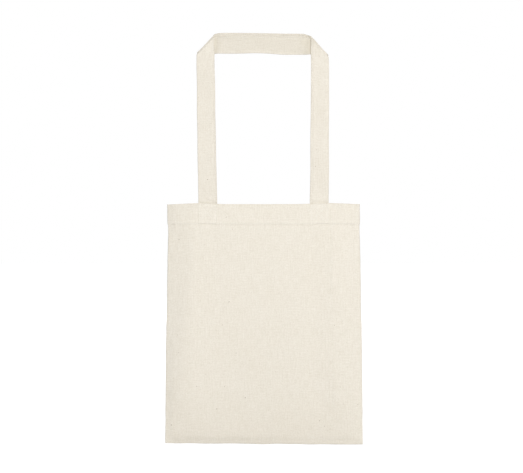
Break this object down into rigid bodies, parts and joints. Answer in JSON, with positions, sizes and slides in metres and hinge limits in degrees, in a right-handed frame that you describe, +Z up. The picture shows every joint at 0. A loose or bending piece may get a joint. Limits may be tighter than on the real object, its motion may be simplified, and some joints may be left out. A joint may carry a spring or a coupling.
{
  "type": "canvas tote bag",
  "caption": "Flat open-topped canvas tote bag with a turned-in hem and two long strap handles sewn inside the mouth",
  "frame": {"origin": "middle of the handle loop: centred in x and y, at the underside of the front handle's top run, where a hook or a hand holds the bag", "axes": "+Z up along the handles, -Y out of the front panel, +X to the right seen from the front"},
  "size_m": [0.334, 0.0156, 0.696],
  "materials": {
    "canvas": "natural undyed cotton canvas, plain weave, matt",
    "strap": "the same canvas folded into a four-layer strap, matt",
    "thread": "natural cotton sewing thread"
  },
  "bodies": {
    "back": {"back_panel": "canvas", "back_hem": "canvas", "left_side_seam": "canvas", "right_side_seam": "canvas", "bottom_seam": "canvas", "back_left_strap_end": "strap", "back_right_strap_end": "strap", "back_left_box_stitch": "thread", "back_right_box_stitch": "thread", "back_hem_stitch": "thread", "left_seam_stitch": "thread", "right_seam_stitch": "thread", "bottom_seam_stitch": "thread", "left_overlock": "thread", "right_overlock": "thread", "bottom_overlock": "thread"},
    "front": {"front_panel": "canvas", "front_hem": "canvas", "front_left_strap_end": "strap", "front_right_strap_end": "strap", "front_left_box_stitch": "thread", "front_right_box_stitch": "thread", "front_hem_stitch": "thread"},
    "front_handle": {"front_handle": "strap", "front_handle_stitch": "thread"},
    "back_handle": {"back_handle": "strap", "back_handle_stitch": "thread"}
  },
  "joints": [
    {"name": "mouth_open", "type": "hinge", "parent": "back", "child": "front", "pos_m": [0, 0.00515, -0.66], "axis": [1, 0, 0], "range_deg": [0, 8], "stiffness_Nm_per_rad": 1.5},
    {"name": "front_handle_fold", "type": "hinge", "parent": "front", "child": "front_handle", "pos_m": [0, -0.00735, -0.254], "axis": [1, 0, 0], "range_deg": [0, 178]},
    {"name": "back_handle_fold", "type": "hinge", "parent": "back", "child": "back_handle", "pos_m": [0, 0.00735, -0.254], "axis": [-1, 0, 0], "range_deg": [0, 178]}
  ]
}
